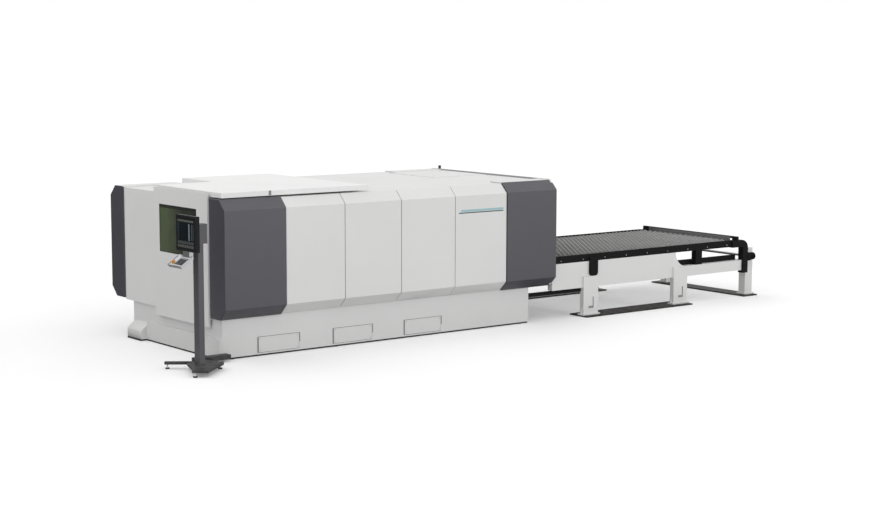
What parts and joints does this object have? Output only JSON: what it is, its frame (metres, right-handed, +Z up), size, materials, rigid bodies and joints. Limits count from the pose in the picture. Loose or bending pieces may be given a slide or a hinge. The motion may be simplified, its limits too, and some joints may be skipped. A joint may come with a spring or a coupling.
{
  "type": "fiber laser cutting machine",
  "caption": "Enclosed flat-bed fiber laser cutter with bevelled panels, a two-level exchange table with toothed slats, and a separate operator stand.",
  "frame": {"origin": "floor level under the middle of the whole machine's box, operator stand and table included", "axes": "+X along the machine from the enclosed end to the exchange table, +Y from the front to the rear, +Z up"},
  "size_m": [10.522, 3.748, 2.092],
  "materials": {
    "white_paint": "satin",
    "dark_paint": "satin",
    "black_paint": "satin",
    "stand_paint": "satin",
    "bare_steel": "brushed",
    "slat_steel": "scaled",
    "pad_rubber": "matt",
    "window_glass": "clear",
    "screen_glass": "clear",
    "screen_plastic": "matt",
    "tray_metal": "satin",
    "key_plastic": "matt",
    "button_plastic": "gloss",
    "nozzle_brass": "polished"
  },
  "bodies": {
    "machine": {"machine_bed": "white_paint", "levelling_pads": "pad_rubber", "bed_covers": "white_paint", "end_duct": "white_paint", "outlet_boot": "white_paint", "front_left_cap": "dark_paint", "front_right_cap": "dark_paint", "rear_left_cap": "dark_paint", "rear_right_cap": "dark_paint", "front_panel_1": "white_paint", "front_panel_2": "white_paint", "front_panel_3": "white_paint", "front_panel_4": "white_paint", "rear_panels": "white_paint", "left_wall": "white_paint", "door_track": "bare_steel", "right_wall": "white_paint", "roof_panel": "white_paint", "roof_hatch": "white_paint", "roof_hood": "white_paint", "roof_plate": "white_paint", "roof_gland": "pad_rubber", "guide_rails": "bare_steel", "upper_rails": "black_paint", "scrap_tray": "bare_steel", "laser_source": "dark_paint", "control_cabinet": "white_paint", "table_front_frame": "white_paint", "table_rear_frame": "white_paint", "table_cross_beams": "white_paint", "floor_plates": "black_paint", "lower_rails": "black_paint", "rail_posts": "black_paint", "table_guard": "black_paint", "drive_motor": "black_paint", "stand_base": "stand_paint", "stand_feet": "pad_rubber", "stand_column": "stand_paint"},
    "end_door": {"end_door": "white_paint", "door_window": "window_glass"},
    "loading_door": {"loading_door": "bare_steel"},
    "bridge": {"bridge_beam": "bare_steel"},
    "carriage": {"y_carriage": "dark_paint"},
    "head": {"cutting_head": "white_paint", "nozzle": "nozzle_brass"},
    "lift": {"lift_frame": "bare_steel"},
    "pallet_a": {"pallet_a_frame": "black_paint", "pallet_a_slats": "slat_steel"},
    "pallet_b": {"pallet_b_frame": "black_paint", "pallet_b_slats": "slat_steel"},
    "wheels_a1": {"pallet_a_wheelset_1": "bare_steel"},
    "wheels_a2": {"pallet_a_wheelset_2": "bare_steel"},
    "wheels_b1": {"pallet_b_wheelset_1": "bare_steel"},
    "wheels_b2": {"pallet_b_wheelset_2": "bare_steel"},
    "drive": {"drive_shaft": "bare_steel"},
    "screen": {"screen_housing": "screen_plastic", "screen_glass": "screen_glass", "keyboard_tray": "tray_metal", "keypad": "key_plastic"},
    "estop": {"estop_button": "button_plastic"}
  },
  "joints": [
    {"name": "exchange", "type": "slide", "parent": "machine", "child": "pallet_a", "axis": [1, 0, 0], "range_m": [-3.845, 0]},
    {"name": "lift_rise", "type": "slide", "parent": "machine", "child": "lift", "axis": [0, 0, 1], "range_m": [0, 0.205]},
    {"name": "pallet_b_slide", "type": "slide", "parent": "lift", "child": "pallet_b", "axis": [1, 0, 0], "range_m": [0, 3.845]},
    {"name": "wheels_a1_spin", "type": "hinge", "parent": "pallet_a", "child": "wheels_a1", "pos_m": [1.64605, 0.002, 0.8493], "axis": [0, 1, 0], "continuous": true},
    {"name": "wheels_a2_spin", "type": "hinge", "parent": "pallet_a", "child": "wheels_a2", "pos_m": [4.1915, 0.002, 0.8493], "axis": [0, 1, 0], "continuous": true},
    {"name": "wheels_b1_spin", "type": "hinge", "parent": "pallet_b", "child": "wheels_b1", "pos_m": [-2.19895, 0.002, 0.6443], "axis": [0, 1, 0], "continuous": true},
    {"name": "wheels_b2_spin", "type": "hinge", "parent": "pallet_b", "child": "wheels_b2", "pos_m": [0.3465, 0.002, 0.6443], "axis": [0, 1, 0], "continuous": true},
    {"name": "drive_spin", "type": "hinge", "parent": "machine", "child": "drive", "pos_m": [4.964, 0.002, 0.652], "axis": [0, 1, 0], "continuous": true},
    {"name": "bridge_x", "type": "slide", "parent": "machine", "child": "bridge", "axis": [1, 0, 0], "range_m": [-1.5, 1.5]},
    {"name": "carriage_y", "type": "slide", "parent": "bridge", "child": "carriage", "axis": [0, 1, 0], "range_m": [-0.62, 0.62]},
    {"name": "head_z", "type": "slide", "parent": "carriage", "child": "head", "axis": [0, 0, 1], "range_m": [-0.1, 0]},
    {"name": "end_door_slide", "type": "slide", "parent": "machine", "child": "end_door", "axis": [0, 1, 0], "range_m": [0, 0.85]},
    {"name": "loading_door_drop", "type": "slide", "parent": "machine", "child": "loading_door", "axis": [0, 0, 1], "range_m": [-0.495, 0]},
    {"name": "screen_swivel", "type": "hinge", "parent": "machine", "child": "screen", "pos_m": [-5.026, -1.411, 1.65], "axis": [0, 0, 1], "range_deg": [-20, 20]},
    {"name": "estop_press", "type": "slide", "parent": "screen", "child": "estop", "axis": [0.5736, 0, -0.8192], "range_m": [0, 0.006], "stiffness_N_per_m": 1500}
  ],
  "couplings": [
    {"joint": "pallet_b_slide", "follows": "exchange", "ratio": -1},
    {"joint": "wheels_a1_spin", "follows": "exchange", "rad_per_m": 29.412},
    {"joint": "wheels_a2_spin", "follows": "exchange", "rad_per_m": 29.412},
    {"joint": "wheels_b1_spin", "follows": "exchange", "rad_per_m": -29.412},
    {"joint": "wheels_b2_spin", "follows": "exchange", "rad_per_m": -29.412},
    {"joint": "drive_spin", "follows": "exchange", "rad_per_m": 29.412}
  ]
}
